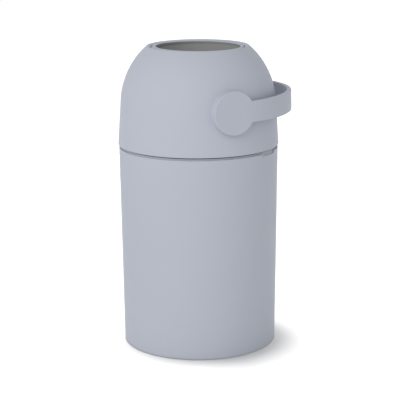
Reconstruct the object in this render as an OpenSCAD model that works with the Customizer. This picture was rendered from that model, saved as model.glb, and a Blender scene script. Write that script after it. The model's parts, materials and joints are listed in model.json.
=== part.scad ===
// Nappy bin: a round bin with a lift-off head. A ball drum turns in the head on two axles.
// The loop handle turns the drum half a turn, and a piston inside drops and pushes the nappy out.
// Millimetres. Origin: centre of the foot ring on the floor. +Z up, handle points along +X at rest.

/* [Bin] */
// Outer radius of the bin at its rim
bin_rim_r = 147.3; // [143:0.1:152]
// Outer radius of the bin at the floor
bin_base_r = 142.8; // [136:0.1:147]
// Height of the bin's rim above the floor
bin_h = 372; // [280:1:440]
// Wall thickness of the bin
bin_wall = 2.6; // [2:0.1:3]
// Thickness of the bin's floor
floor_t = 3; // [2:0.1:5]
// Height of the recess under the floor
floor_lift = 6; // [3:0.5:12]
// Width of the ring the bin stands on
foot_w = 5; // [4:0.5:12]
// Rounding of the outer edge at the floor
foot_round = 3.5; // [1:0.5:4]
// Rounding inside, between floor and wall
floor_fillet = 8; // [3:1:15]
// Number of ribs that carry the bag ring
rib_n = 8; // [4:1:12]
// Thickness of those ribs
rib_t = 2.4; // [1.5:0.1:4]

/* [Finger notch] */
// Direction of the notch, seen from above
notch_dir = -54.2; // [-75:0.1:-15]
// Width of the notch along the rim
notch_w = 44; // [25:1:70]
// Depth of the notch below the rim
notch_depth = 4.4; // [3:0.1:9]
// Corner rounding of the notch
notch_round = 2.6; // [0.5:0.1:2.8]

/* [Bag ring] */
// How far the ring reaches down into the bin
ring_depth = 20; // [14:1:30]
// Radial width of the ring
ring_w = 9.8; // [8:0.1:12]
// Wall thickness of the ring
ring_t = 2.2; // [1.6:0.1:2.8]
// Depth of the ring's inner skirt, which the bag is tucked behind
skirt_h = 15; // [8:1:18]
// Gap between the ring and the bin's wall
ring_gap = 0.6; // [0.4:0.1:1.2]
// Height of the soft gasket on the ring
gasket_t = 1.5; // [1:0.1:3]
// Width of the gasket
gasket_w = 4; // [2:0.5:5]

/* [Head] */
// Height of the open seam between bin and head
seam_gap = 5.2; // [3:0.1:8]
// How far the head's lip stands out past the bin's rim
head_overhang = 1.5; // [0.5:0.1:3]
// Lean of the head's lower wall, in degrees
head_lean = 3.85; // [2:0.05:5]
// Height of the drum's axis above the head's lip
pivot_up = 78; // [75:0.1:86]
// Drop of the dome's centre below the drum's axis
dome_drop = 5.2; // [4:0.1:9]
// Wall thickness of the head shell
head_wall = 2.8; // [2.2:0.1:3.4]
// Rounding of the mouth's outer edge
mouth_round = 3; // [1.5:0.5:4]
// Rounding of the mouth's inner edge, which leads a hand in
mouth_edge = 4.5; // [2:0.1:5]
// How far the mouth stands above the drum's rim
mouth_proud = 2.4; // [1.5:0.1:4]
// Open gap between the drum's rim and the mouth
mouth_gap = 2.8; // [1.5:0.1:3.2]
// How far the screw circle lies in from the frame's edge
screw_inset = 19.4; // [18.9:0.1:21]
// Radius of the screw bosses
boss_r = 4.6; // [4:0.1:5]
// Number of frame screws
frame_screw_n = 6; // [4:1:8]
// Thickness of the head frame's plate
frame_t = 2.5; // [2:0.1:3]
// Depth of the frame's spigot below its plate
spigot_h = 17; // [13:0.5:24]
// Number of gussets under the frame
gusset_n = 12; // [6:6:24]

/* [Drum] */
// Radial room between the drum and the outside of the dome
drum_room = 11.6; // [10.5:0.1:14]
// Inner radius of the barrel
barrel_r = 80; // [70:0.5:82]
// Thickness of the barrel's liner
liner_t = 1.6; // [1.2:0.1:2]
// Wall thickness of the drum's mouldings
drum_wall = 2.4; // [2:0.1:3]
// Depth of the flats that the axles sit on
facet_cut = 4; // [3.5:0.1:5]
// How far the end rings stand in past the barrel's bore
end_step = 1.8; // [1:0.1:3]
// Height of the end rings
end_ring_h = 7; // [5:0.5:12]
// Number of ribs inside each half of the drum
drum_rib_n = 8; // [4:4:16]
// Depth of those ribs, from the outside of the ball
drum_rib_d = 8; // [4:0.5:14]
// Height of the collar round each end of the barrel
end_collar_h = 6; // [5:1:30]

/* [Axles] */
// Radius of the axle shaft
shaft_r = 11; // [8:0.5:11.5]
// Radius of the collar with the stop lug
collar_r = 30; // [28:0.5:30.5]
// Thickness of the collar
collar_t = 3; // [2.5:0.1:3.4]
// Side of the square hub held between the drum's halves
hub_w = 26; // [22:1:28]
// Length of that hub
hub_len = 14; // [12:1:18]
// Side of the square tenon in the handle
tenon_w = 14; // [12:0.5:15]
// Wall thickness of the axle's bush
bush_t = 3; // [2:0.1:3.2]
// Running clearance between shaft and bush
run_gap = 0.05; // [0.02:0.01:0.1]
// Radius of the handle screw
handle_screw_r = 2.25; // [2:0.05:2.5]

/* [Handle] */
// Radius of the handle's discs
disc_r = 39.5; // [36:0.1:41]
// Thickness of the handle
handle_t = 8.5; // [8:0.1:11]
// Height of the handle's band
band_h = 37.7; // [28:0.1:46]
// How far the centre of the round end lies ahead of the drum's axis
handle_ahead = 19; // [8:0.5:40]
// How far the loop is tipped up about the drum's axis, in degrees
handle_rise = 1.2; // [0:0.1:3]
// Edge rounding of the handle
handle_edge = 1.6; // [0.6:0.1:2.4]
// Fillet between disc and band
handle_fillet = 5; // [2:0.5:8]

/* [Piston] */
// Height of the piston
piston_h = 30; // [24:1:44]
// Wall thickness of the piston's halves
piston_wall = 2.2; // [1.6:0.1:3]
// Radius of the steel weight in the piston
weight_r = 60; // [45:1:62]
// Thickness of the steel weight
weight_t = 4; // [2:0.5:6]
// Thickness of the piston's wiper seal
wiper_t = 3; // [2:0.5:4]

/* [Hidden] */
$fn = 128;
fine_fn = 512;         // for a large circle of which only a short arc is kept

// Clearances and small shared sizes
soft_gap = 0.3;        // between a soft or loose piece and what passes or carries it
fit_gap = 0.1;         // between pieces of one body that are fitted into each other
edge = 1;              // rounding of moulded rims
cut = 1;               // how far a cutting shape runs past what it cuts

// Heights
head_z = bin_h + seam_gap;
ring_seat_z = bin_h - ring_depth;
ring_top_z = head_z - soft_gap;
frame_z = ring_top_z + gasket_t + soft_gap;
frame_top_z = frame_z + frame_t;
pivot_z = head_z + pivot_up;
dome_z = pivot_z - dome_drop;

// Bin: the wall leans out by bin_lean, and bin_r gives its radius at a height, less an inset
bin_lean = atan((bin_rim_r - bin_base_r) / bin_h);
function bin_r(z, inset = 0) = bin_base_r + (z * sin(bin_lean) - inset) / cos(bin_lean);
floor_top = floor_lift + floor_t;
ring_r = bin_r(ring_seat_z, bin_wall) - ring_gap;
skirt_r = ring_r - ring_w;
skirt_z = ring_top_z - skirt_h;
bead_r = 1.3;
rib_reach = 2;         // how far a rib stands in past the ring's outer wall
rib_in_r = ring_r - ring_t - rib_reach;

// Head: a cone that runs tangent into a ball-shaped dome.
// The cone is sunk a hair into the dome, so that the two cross in a clean edge.
lip_r = bin_rim_r + head_overhang;
dome_r = lip_r * cos(head_lean) + (head_z - dome_z) * sin(head_lean);
blend_sink = 0.02;
blend_h = 20;          // how far the dome's shape runs down behind the cone
function tangent_z(inset) = dome_z + (dome_r - inset) * sin(head_lean);
function head_r(z, inset = 0) = (dome_r - inset - (z - dome_z) * sin(head_lean)) / cos(head_lean);

// Drum: a ball cut flat at both ends, where the barrel's mouths are
ball_r = dome_r - drum_room;
liner_r = barrel_r + liner_t;
tube_in_r = liner_r + fit_gap;
drum_rim_r = tube_in_r + drum_wall;
drum_half_h = sqrt(ball_r * ball_r - drum_rim_r * drum_rim_r);
facet_y = ball_r - facet_cut;
end_margin = 1.3;      // width of the drum's rim that is left round an end ring
end_flange_r = drum_rim_r - end_margin;
end_flange_t = 3;
end_in_r = barrel_r - end_step;
lap_t = 1.8;           // lip on the upper half that laps inside the lower one
lap_h = 3;
drum_rib_t = 1.8;
drum_rib_gap = 0.5;    // between the lap and the lower end of the ribs

// Mouth of the head, just above the drum's rim
mouth_lip_h = 7;       // height of the mouth's lip, above the seal
ball_room = 0.8;       // between that lip and the ball
mouth_r = drum_rim_r + mouth_gap;
top_z = pivot_z + drum_half_h + mouth_proud;
ball_clear_r = ball_r + ball_room;
seal_top_z = top_z - mouth_lip_h;

// Bowl under the drum, with the throat that the nappy drops through
bowl_room = 3;         // between the bowl and the ball
frame_gap = 0.5;       // between the frame's edge and the head's wall
spigot_gap = 1.4;      // between the spigot and the bag ring's skirt
groove_up = 4;         // height of the seal's groove above the spigot's lower edge
boss_room = 2;         // between the bosses and the ball
boss_cap = 1;          // solid plastic above a screw hole
bowl_r = ball_r + bowl_room;
bowl_out_r = bowl_r + frame_t;
throat_r = mouth_r;
function bowl_x(r, z) = sqrt(r * r - (pivot_z - z) * (pivot_z - z));
frame_r = head_r(frame_z, head_wall) - frame_gap;
spigot_r = skirt_r - spigot_gap;
spigot_t = 2.4;
spigot_z = frame_z - spigot_h;
groove_z = spigot_z + groove_up;
groove_h = 3;
groove_d = 1;
boss_pcd_r = frame_r - screw_inset;
boss_top_z = pivot_z - sqrt(pow(ball_r + boss_room, 2) - pow(boss_pcd_r - boss_r, 2));
frame_screw_r = 1.6;
frame_head_r = 3.6;
frame_head_h = 2.2;
frame_screw_len = 15;
seal_w = 5;

// Pedestals on the head, which carry the bushes, and what lines up with them along the axis
disc_overhang = 0.4;   // how far the handle's disc stands out past the pedestal
disc_edge = 0.6;       // rounding of the disc's edge on the side of the pedestal
pedestal_root = 0.6;   // how far the pedestal runs in behind the dome's inner face
pedestal_r = disc_r - disc_overhang;
pedestal_y = head_r(pivot_z - disc_r) + soft_gap;
function dome_in_y(z) = sqrt(pow(dome_r - head_wall, 2) - pow(z - dome_z, 2));
pedestal_in_y = dome_in_y(pivot_z + pedestal_r) - pedestal_root;
handle_in = pedestal_y + soft_gap;
handle_out = handle_in + handle_t;
collar_y = facet_y + collar_t;
bush_flange_t = 2;
bush_tube_t = 2.8;     // wall of the tube that holds a bush
bush_flange_cut = 0.6; // how far a bush's flange stays in from that tube's outside
bush_y = collar_y + soft_gap;
bush_seat_y = bush_y + bush_flange_t;
bush_r = shaft_r + run_gap + bush_t;
bush_tube_r = bush_r + bush_tube_t;
bush_flange_r = bush_tube_r - bush_flange_cut;

// Stops: the axle's lug and the head's rib each fill a quarter turn, so half a turn is left
stop_root = 0.2;       // how far a stop rib is sunk into the bush's tube
lug_gap = 0.4;         // between the lug and that tube
stop_margin = 2;       // of the collar left outside the lug
lug_lap = 1;           // how far the lug reaches past the tube's end
stop_in_r = bush_tube_r - stop_root;
lug_in_r = bush_tube_r + lug_gap;
stop_out_r = collar_r - stop_margin;
lug_h = bush_seat_y - collar_y + lug_lap;
stop_angle = 90;
stop_slack = 0.8;

// Axle hub, tenon and screw
tenon_len = 4.4;
screw_clear = 0.2;
screw_head_r = 5;
screw_head_h = 3;
hub_sink = 6;
hub_y = facet_y - hub_len;
hub_wall = 3;
hub_back = 1;          // how far the hub's seat stands in behind the hub
screw_tip = 2;         // how far the screw reaches past the tenon
screw_bite = tenon_len + screw_tip;

// Piston, at the lower end of the barrel
piston_gap = 0.8;      // between the piston and the barrel
wiper_w = 7;           // width of the wiper seal held between the piston's halves
piston_r = barrel_r - piston_gap;
piston_low_z = pivot_z - drum_half_h + end_ring_h + soft_gap;
piston_mid_z = piston_low_z + piston_h / 2;
wiper_in_r = piston_r - wiper_w;
post_r = 3;
post_n = 6;
piston_round = 3;
pin_r = 4;
pin_wall = 3;

shell_color = [0.69, 0.72, 0.77];
liner_color = [0.60, 0.60, 0.60];
ring_color = [0.66, 0.69, 0.73];
seal_color = [0.25, 0.26, 0.27];
steel_color = [0.72, 0.73, 0.74];
bush_color = [0.90, 0.90, 0.88];

// ---- shared shapes ----

// Area outside a rounded corner, between the directions a0 and a1 from the rounding's centre
module outside_corner(at, r, a0, a1) {
    far = 3 * r;
    mid = (a0 + a1) / 2;
    translate(at)
        difference() {
            polygon([
                [0, 0], far * [cos(a0), sin(a0)],
                2 * far * [cos(mid), sin(mid)], far * [cos(a1), sin(a1)]
            ]);
            circle(r = r);
        }
}

// Rectangle with four round corners, its lowest corner at the origin
module round_box(size, r) {
    translate([r, 0])
        square([size.x - 2 * r, size.y]);
    translate([0, r])
        square([size.x, size.y - 2 * r]);
    for (x = [r, size.x - r])
        for (y = [r, size.y - r])
            translate([x, y])
                circle(r = r, $fn = 32);
}

// Puts a shape on the drum's axis, its +Z pointing out of the front (-Y) side
module at_front() {
    translate([0, 0, pivot_z])
        rotate([90, 0, 0])
            children();
}

module at_rear() {
    mirror([0, 1, 0])
        at_front()
            children();
}

module at_both_sides() {
    at_front()
        children();
    at_rear()
        children();
}

module ring(r_in, r_out, h) {
    difference() {
        cylinder(r = r_out, h = h);
        translate([0, 0, -cut])
            cylinder(r = r_in, h = h + 2 * cut);
    }
}

// Sector of a ring, centred on a direction
module sector(r_in, r_out, h, middle, angle) {
    rotate([0, 0, middle - angle / 2])
        rotate_extrude(angle = angle)
            translate([r_in, 0])
                square([r_out - r_in, h]);
}

// ---- bin ----

module bin_area() {
    difference() {
        polygon([[0, 0], [bin_base_r, 0], [bin_rim_r, bin_h], [0, bin_h]]);
        outside_corner([bin_r(foot_round, foot_round), foot_round], foot_round, -90, -bin_lean);
        outside_corner([bin_r(bin_h - edge, edge), bin_h - edge], edge, -bin_lean, 90);
    }
}

module bin_cavity_area() {
    difference() {
        polygon([
            [0, floor_top], [bin_r(floor_top, bin_wall), floor_top],
            [bin_r(bin_h + cut, bin_wall), bin_h + cut], [0, bin_h + cut]
        ]);
        outside_corner(
            [bin_r(floor_top + floor_fillet, bin_wall + floor_fillet), floor_top + floor_fillet],
            floor_fillet, -90, -bin_lean);
    }
}

module bin_ribs() {
    intersection() {
        for (i = [0 : rib_n - 1])
            rotate([0, 0, (i + 0.5) * 360 / rib_n])
                translate([rib_in_r, -rib_t / 2, floor_top - cut])
                    cube([bin_rim_r - rib_in_r, rib_t, ring_seat_z - floor_top + cut]);
        rotate_extrude()
            polygon([
                [0, 0], [bin_r(0, bin_wall / 2), 0], [bin_r(bin_h, bin_wall / 2), bin_h], [0, bin_h]
            ]);
    }
}

module finger_notch() {
    reach = 20;
    rotate([0, 0, notch_dir])
        translate([bin_rim_r - reach / 2, 0, bin_h - notch_depth]) {
            translate([0, -notch_w / 2, notch_round])
                cube([reach, notch_w, notch_depth + cut]);
            translate([0, notch_round - notch_w / 2, 0])
                cube([reach, notch_w - 2 * notch_round, notch_depth]);
            for (side = [-1, 1])
                translate([0, side * (notch_w / 2 - notch_round), notch_round])
                    rotate([0, 90, 0])
                        cylinder(r = notch_round, h = reach, $fn = 32);
        }
}

module bucket() {
    color(shell_color)
        difference() {
            union() {
                rotate_extrude()
                    difference() {
                        bin_area();
                        bin_cavity_area();
                        translate([0, -cut])
                            square([bin_base_r - foot_w, floor_lift + cut]);
                    }
                bin_ribs();
            }
            finger_notch();
        }
}

module bag_ring() {
    color(ring_color)
        rotate_extrude()
            difference() {
                union() {
                    translate([ring_r - ring_t, ring_seat_z])
                        square([ring_t, ring_top_z - ring_seat_z]);
                    translate([skirt_r, ring_top_z - ring_t])
                        square([ring_w, ring_t]);
                    translate([skirt_r, skirt_z])
                        square([ring_t, skirt_h]);
                    translate([skirt_r + ring_t, skirt_z + bead_r])
                        circle(r = bead_r, $fn = 32);
                }
                outside_corner([ring_r - edge, ring_top_z - edge], edge, 0, 90);
                outside_corner([skirt_r + edge, ring_top_z - edge], edge, 90, 180);
            }
}

module rim_gasket() {
    color(seal_color)
        translate([0, 0, ring_top_z])
            ring(ring_r - ring_t - gasket_w, ring_r - ring_t, gasket_t);
}

// ---- head ----

// Half section of the head's outline, moved in by an inset, between two heights
module head_area(inset, low, high) {
    t_z = tangent_z(inset);
    cone_inset = inset + blend_sink;
    polygon([[0, low], [head_r(low, cone_inset), low], [head_r(t_z, cone_inset), t_z], [0, t_z]]);
    intersection() {
        translate([0, dome_z])
            circle(r = dome_r - inset);
        translate([0, t_z - blend_h])
            square([dome_r, high - t_z + blend_h]);
    }
}

module head_section() {
    mr_z = top_z - mouth_round;
    mr_x = sqrt(pow(dome_r - mouth_round, 2) - pow(mr_z - dome_z, 2));
    difference() {
        head_area(0, head_z, top_z);
        head_area(head_wall, head_z - cut, seal_top_z);
        translate([0, pivot_z])
            circle(r = ball_clear_r);
        translate([0, pivot_z])
            square([mouth_r, top_z - pivot_z + cut]);
        outside_corner([mr_x, mr_z], mouth_round, atan2(mr_z - dome_z, mr_x), 90);
        outside_corner([mouth_r + mouth_edge, top_z - mouth_edge], mouth_edge, 90, 180);
        outside_corner([head_r(head_z + edge, edge), head_z + edge], edge, -90, head_lean);
    }
}

module at_screws() {
    for (i = [0 : frame_screw_n - 1])
        rotate([0, 0, i * 360 / frame_screw_n])
            translate([boss_pcd_r, 0, 0])
                children();
}

module head_bosses() {
    boss_h = boss_top_z - frame_top_z;
    intersection() {
        at_screws()
            translate([0, 0, frame_top_z]) {
                cylinder(r = boss_r, h = boss_h, $fn = 48);
                translate([0, -bin_wall / 2, 0])
                    cube([lip_r - boss_pcd_r, bin_wall, boss_h]);
            }
        rotate_extrude()
            head_area(head_wall / 2, head_z, top_z);
    }
}

module head_shell() {
    color(shell_color)
        difference() {
            union() {
                difference() {
                    union() {
                        rotate_extrude()
                            head_section();
                        at_both_sides()
                            translate([0, 0, pedestal_in_y])
                                cylinder(r = pedestal_r, h = pedestal_y - pedestal_in_y);
                    }
                    at_both_sides()
                        translate([0, 0, facet_y])
                            cylinder(r = pedestal_r - head_wall, h = pedestal_y - head_wall - facet_y);
                }
                at_both_sides() {
                    translate([0, 0, bush_seat_y])
                        cylinder(r = bush_tube_r, h = pedestal_y - head_wall / 2 - bush_seat_y);
                    translate([0, 0, collar_y + soft_gap])
                        sector(stop_in_r, stop_out_r, pedestal_y - cut - collar_y - soft_gap,
                            90, stop_angle - 2 * stop_slack);
                }
                head_bosses();
            }
            at_both_sides()
                translate([0, 0, collar_y])
                    cylinder(r = bush_r, h = handle_out - collar_y);
            at_screws()
                translate([0, 0, frame_top_z - cut])
                    cylinder(r = frame_screw_r + fit_gap, h = boss_top_z - boss_cap - frame_top_z + cut, $fn = 32);
        }
}

module frame_section() {
    difference() {
        union() {
            intersection() {
                translate([0, pivot_z])
                    circle(r = bowl_out_r);
                translate([throat_r, pivot_z - bowl_out_r])
                    square([bowl_out_r, frame_top_z - pivot_z + bowl_out_r]);
            }
            translate([bowl_x(bowl_r, frame_z), frame_z])
                square([frame_r - bowl_x(bowl_r, frame_z), frame_t]);
            translate([spigot_r - spigot_t, spigot_z])
                square([spigot_t, frame_z - spigot_z + cut]);
        }
        translate([0, pivot_z])
            circle(r = bowl_r);
        translate([spigot_r - groove_d, groove_z])
            square([groove_d + cut, groove_h]);
        outside_corner([spigot_r - edge, spigot_z + edge], edge, -90, 0);
    }
}

// Thin upright plates that tie the bowl to the spigot
module frame_gussets() {
    low_z = groove_z + groove_h;
    in_x = bowl_x(bowl_r + frame_t / 2, low_z);
    for (i = [0 : gusset_n - 1])
        rotate([0, 0, (i + 0.5) * 360 / gusset_n])
            translate([0, bin_wall / 2, 0])
                rotate([90, 0, 0])
                    linear_extrude(bin_wall)
                        polygon([
                            [in_x, low_z], [spigot_r - spigot_t / 2, low_z],
                            [spigot_r - spigot_t / 2, frame_z + frame_t / 2],
                            [bowl_x(bowl_r + frame_t / 2, frame_z), frame_z + frame_t / 2]
                        ]);
}

module head_frame() {
    color(shell_color)
        difference() {
            union() {
                rotate_extrude()
                    frame_section();
                difference() {
                    frame_gussets();
                    translate([0, 0, pivot_z])
                        sphere(r = bowl_r);
                }
            }
            at_screws()
                translate([0, 0, frame_z - cut])
                    cylinder(r = frame_screw_r + 2 * fit_gap, h = frame_t + 2 * cut, $fn = 32);
        }
}

module frame_screws() {
    color(steel_color)
        at_screws() {
            translate([0, 0, frame_z])
                cylinder(r = frame_screw_r, h = frame_screw_len, $fn = 32);
            translate([0, 0, frame_z - frame_head_h])
                difference() {
                    cylinder(r = frame_head_r, h = frame_head_h, $fn = 32);
                    translate([0, 0, -cut])
                        cylinder(r = frame_screw_r, h = frame_head_h / 2 + cut, $fn = 6);
                }
        }
}

module spigot_seal() {
    lip_r = skirt_r - soft_gap;
    color(seal_color)
        rotate_extrude() {
            translate([spigot_r - groove_d + fit_gap, groove_z + fit_gap])
                square([groove_d, groove_h - 2 * fit_gap]);
            translate([spigot_r, groove_z + 2 * fit_gap])
                square([lip_r - spigot_r, groove_h / 2]);
        }
}

// Wiper rings that lie close to the ball above and below
module top_seal() {
    in_r = sqrt(pow(ball_clear_r, 2) - pow(seal_top_z - pivot_z, 2)) + soft_gap;
    room_r = sqrt(pow(dome_r - head_wall, 2) - pow(seal_top_z - dome_z, 2)) - fit_gap;
    color(seal_color)
        rotate_extrude()
            difference() {
                translate([in_r, pivot_z])
                    square([min(seal_w, room_r - in_r), seal_top_z - fit_gap - pivot_z]);
                translate([0, pivot_z])
                    circle(r = ball_r + soft_gap, $fn = fine_fn);
            }
}

module bottom_seal() {
    color(seal_color)
        rotate_extrude()
            difference() {
                intersection() {
                    translate([0, pivot_z])
                        circle(r = bowl_r - fit_gap);
                    translate([throat_r + soft_gap, pivot_z - bowl_r])
                        square([seal_w, bowl_r]);
                }
                translate([0, pivot_z])
                    circle(r = ball_r + soft_gap);
            }
}

module bush() {
    difference() {
        union() {
            translate([0, 0, bush_y])
                cylinder(r = bush_flange_r, h = bush_flange_t);
            translate([0, 0, bush_y])
                cylinder(r = bush_r - run_gap, h = pedestal_y - bush_y);
        }
        translate([0, 0, bush_y - cut])
            cylinder(r = shaft_r + run_gap, h = pedestal_y - bush_y + 2 * cut);
    }
}

module bush_front() {
    color(bush_color)
        at_front()
            bush();
}

module bush_rear() {
    color(bush_color)
        at_rear()
            bush();
}

// ---- drum, drawn about its own centre ----

module drum_envelope(inset) {
    flat = facet_y - inset;
    intersection() {
        sphere(r = ball_r - inset);
        translate([-ball_r, -flat, 0])
            cube([2 * ball_r, 2 * flat, drum_half_h - inset]);
    }
}

module drum_ribs() {
    intersection() {
        difference() {
            drum_envelope(drum_wall / 2);
            translate([0, 0, -cut])
                drum_envelope(drum_rib_d);
        }
        for (i = [0 : drum_rib_n - 1])
            rotate([0, 0, (i + 0.5) * 360 / drum_rib_n])
                translate([drum_rim_r - drum_wall / 2, -drum_rib_t / 2, lap_h + drum_rib_gap])
                    cube([ball_r, drum_rib_t, ball_r]);
    }
}

// One moulded half: ball skin, end face with its collar, ribs and the seats for the axle hubs
module drum_half() {
    seat_w = hub_w / 2 + hub_wall;
    pocket_w = hub_w / 2 + fit_gap;
    difference() {
        union() {
            difference() {
                drum_envelope(0);
                translate([0, 0, -cut])
                    drum_envelope(drum_wall);
                drum_envelope(drum_wall);
            }
            translate([0, 0, drum_half_h - end_collar_h])
                cylinder(r = drum_rim_r, h = end_collar_h - drum_wall / 2);
            drum_ribs();
            for (side = [-1, 1])
                translate([-seat_w, side * (hub_y + hub_len / 2 - hub_back) - hub_len / 2, 0])
                    cube([2 * seat_w, hub_len, seat_w]);
        }
        translate([0, 0, -cut])
            cylinder(r = tube_in_r, h = ball_r);
        translate([0, 0, drum_half_h - end_flange_t])
            cylinder(r = end_flange_r, h = ball_r);
        for (side = [-1, 1])
            translate([-pocket_w, side * (hub_y + hub_len / 2) - hub_len / 2 - fit_gap, -pocket_w])
                cube([2 * pocket_w, hub_len + 2 * fit_gap, 2 * pocket_w]);
    }
}

// Lip on the upper half that laps inside the lower half
module drum_lap() {
    lap_r = ball_r - drum_wall - fit_gap;
    flat = facet_y - drum_wall - fit_gap;
    difference() {
        intersection() {
            union() {
                translate([0, 0, -lap_h])
                    ring(lap_r - lap_t, lap_r - fit_gap, lap_h);
                ring(lap_r - lap_t, lap_r + drum_wall / 2, lap_h);
            }
            translate([-ball_r, -flat, -lap_h])
                cube([2 * ball_r, 2 * flat, 2 * lap_h]);
        }
        for (side = [-1, 1])
            translate([-hub_w, side * facet_y - hub_len, -ball_r])
                cube([2 * hub_w, 2 * hub_len, 2 * ball_r]);
    }
}

module drum_upper() {
    color(shell_color)
        translate([0, 0, pivot_z]) {
            drum_half();
            drum_lap();
        }
}

module drum_lower() {
    color(shell_color)
        translate([0, 0, pivot_z])
            mirror([0, 0, 1])
                drum_half();
}

module barrel_liner() {
    liner_h = 2 * (drum_half_h - end_flange_t);
    color(liner_color)
        translate([0, 0, pivot_z - liner_h / 2])
            ring(barrel_r, liner_r, liner_h);
}

// L-section ring that closes the liner's end, holds the halves together and stops the piston
module end_ring() {
    sleeve_r = barrel_r - fit_gap;
    rotate_extrude()
        difference() {
            union() {
                translate([end_in_r, drum_half_h - end_ring_h])
                    square([sleeve_r - end_in_r, end_ring_h]);
                translate([end_in_r, drum_half_h - end_flange_t])
                    square([end_flange_r - fit_gap - end_in_r, end_flange_t]);
            }
            outside_corner([end_in_r + edge, drum_half_h - edge], edge, 90, 180);
        }
}

module end_ring_upper() {
    color(liner_color)
        translate([0, 0, pivot_z])
            end_ring();
}

module end_ring_lower() {
    color(liner_color)
        translate([0, 0, pivot_z])
            mirror([0, 0, 1])
                end_ring();
}

module axle() {
    difference() {
        union() {
            translate([-hub_w / 2, -hub_w / 2, hub_y])
                cube([hub_w, hub_w, hub_len]);
            translate([0, 0, facet_y])
                cylinder(r = collar_r, h = collar_t);
            translate([0, 0, collar_y - cut])
                cylinder(r = shaft_r, h = handle_in - collar_y + cut);
            translate([-tenon_w / 2, -tenon_w / 2, handle_in - cut])
                cube([tenon_w, tenon_w, tenon_len + cut]);
            translate([0, 0, collar_y - cut])
                sector(lug_in_r, stop_out_r, lug_h + cut, 180, stop_angle);
        }
        translate([0, 0, hub_y - cut])
            cylinder(r = handle_screw_r + screw_clear, h = handle_out - hub_y, $fn = 32);
        translate([0, 0, hub_y - cut])
            cylinder(r = screw_head_r + screw_clear, h = hub_sink + cut, $fn = 48);
    }
}

module axle_front() {
    color(bush_color)
        at_front()
            axle();
}

module axle_rear() {
    color(bush_color)
        at_rear()
            axle();
}

// ---- handle ----

module band_profile() {
    translate([handle_in, -band_h / 2])
        round_box([handle_t, band_h], handle_edge);
}

module handle_disc() {
    translate([0, 0, handle_in])
        rotate_extrude()
            difference() {
                square([disc_r, handle_t]);
                outside_corner([disc_r - handle_edge, handle_t - handle_edge], handle_edge, 0, 90);
                outside_corner([disc_r - disc_edge, disc_edge], disc_edge, -90, 0);
            }
}

// The loop: two straight arms and a half ring, drawn about the drum's centre
module handle_band() {
    for (side = [0, 1])
        mirror([0, side, 0])
            rotate([90, 0, 90])
                linear_extrude(handle_ahead)
                    band_profile();
    translate([handle_ahead, 0, 0])
        rotate([0, 0, -90])
            rotate_extrude(angle = 180)
                band_profile();
}

// Fillets in the corners between a disc and the band, kept within the band's thickness
module handle_fillets() {
    fr = handle_fillet;
    fx = sqrt(pow(disc_r + fr, 2) - pow(band_h / 2 + fr, 2));
    intersection() {
        rotate([90, 0, 0])
            linear_extrude(2 * handle_out, center = true)
                for (side = [-1, 1])
                    difference() {
                        polygon([
                            [handle_ahead, 0], [fx, 0], [fx, side * (band_h / 2 + fr)],
                            [handle_ahead, side * band_h / 2]
                        ]);
                        translate([fx, side * (band_h / 2 + fr)])
                            circle(r = fr, $fn = 48);
                    }
        translate([handle_ahead, 0, -disc_r])
            ring(handle_in, handle_out - handle_edge / 2, 2 * disc_r);
    }
}

module handle() {
    color(shell_color)
        difference() {
            union() {
                at_both_sides()
                    handle_disc();
                translate([0, 0, pivot_z])
                    rotate([0, -handle_rise, 0]) {
                        handle_band();
                        handle_fillets();
                    }
            }
            at_both_sides()
                translate([0, 0, facet_y])
                    cylinder(r = disc_r + soft_gap, h = handle_in - facet_y);
            at_both_sides() {
                translate([-tenon_w / 2 - fit_gap, -tenon_w / 2 - fit_gap, handle_in - cut])
                    cube([tenon_w + 2 * fit_gap, tenon_w + 2 * fit_gap, tenon_len + fit_gap + cut]);
                translate([0, 0, handle_in])
                    cylinder(r = handle_screw_r + fit_gap, h = screw_bite + 2 * fit_gap, $fn = 32);
            }
        }
}

module handle_screws() {
    head_y = hub_y + hub_sink - screw_head_h;
    color(steel_color)
        at_both_sides() {
            translate([0, 0, head_y])
                difference() {
                    cylinder(r = screw_head_r, h = screw_head_h, $fn = 48);
                    translate([0, 0, -cut])
                        cylinder(r = handle_screw_r, h = screw_head_h / 2 + cut, $fn = 6);
                }
            translate([0, 0, head_y + screw_head_h / 2])
                cylinder(r = handle_screw_r, h = handle_in + screw_bite - head_y - screw_head_h / 2, $fn = 32);
        }
}

// ---- piston, drawn about its middle ----

// One hollow half, its smooth face at the bottom
module piston_half() {
    half_h = piston_h / 2;
    rotate_extrude()
        difference() {
            translate([0, -half_h])
                square([piston_r, half_h - wiper_t / 2]);
            translate([0, piston_wall - half_h])
                square([piston_r - piston_wall, half_h]);
            outside_corner([piston_r - piston_round, piston_round - half_h], piston_round, -90, 0);
        }
    rotate_extrude()
        translate([piston_r - piston_round - piston_wall / 2, piston_wall / 2 - half_h])
            square([piston_wall, piston_round + piston_wall / 2]);
    for (i = [0 : post_n - 1])
        rotate([0, 0, i * 360 / post_n])
            translate([weight_r - 2 * post_r, 0, piston_wall / 2 - half_h])
                cylinder(r = post_r, h = half_h - piston_wall / 2 - weight_t / 2, $fn = 32);
}

module piston_upper() {
    color(liner_color)
        translate([0, 0, piston_mid_z]) {
            mirror([0, 0, 1])
                piston_half();
            translate([0, 0, piston_wall - piston_h / 2 + fit_gap])
                cylinder(r = pin_r, h = piston_h - piston_wall - piston_wall / 2 - fit_gap, $fn = 48);
        }
}

module piston_lower() {
    color(liner_color)
        translate([0, 0, piston_mid_z]) {
            piston_half();
            translate([0, 0, piston_wall / 2 - piston_h / 2])
                ring(pin_r + fit_gap, pin_r + pin_wall, piston_h / 2 - piston_wall / 2 - weight_t / 2);
        }
}

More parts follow.
